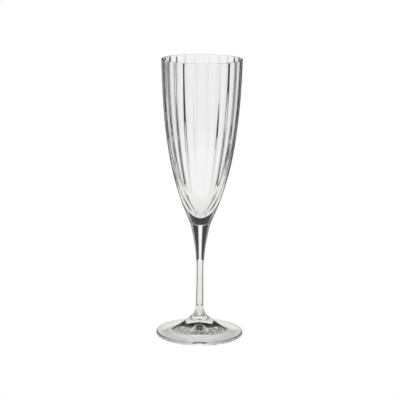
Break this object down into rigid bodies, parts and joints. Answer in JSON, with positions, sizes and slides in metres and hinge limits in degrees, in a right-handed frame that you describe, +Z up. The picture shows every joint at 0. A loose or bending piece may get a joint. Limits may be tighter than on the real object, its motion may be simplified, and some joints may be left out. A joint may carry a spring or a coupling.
{
  "type": "champagne flute",
  "caption": "Stemmed drinking glass with a tall narrow optic-ribbed bowl, a thin drawn stem and a round coned foot.",
  "frame": {"origin": "on the table, under the centre of the foot", "axes": "+Z up along the axis of the glass, which is turned and the same all round"},
  "size_m": [0.0704, 0.0704, 0.225],
  "materials": {
    "bowl_crystal": "clear colourless crystal, fire polished, soft upright optic ribs",
    "stem_crystal": "clear colourless crystal, fire polished, smooth",
    "foot_crystal": "clear colourless crystal, fire polished, smooth"
  },
  "bodies": {
    "root": {"bowl": "bowl_crystal", "stem": "stem_crystal", "foot": "foot_crystal"}
  },
  "joints": []
}
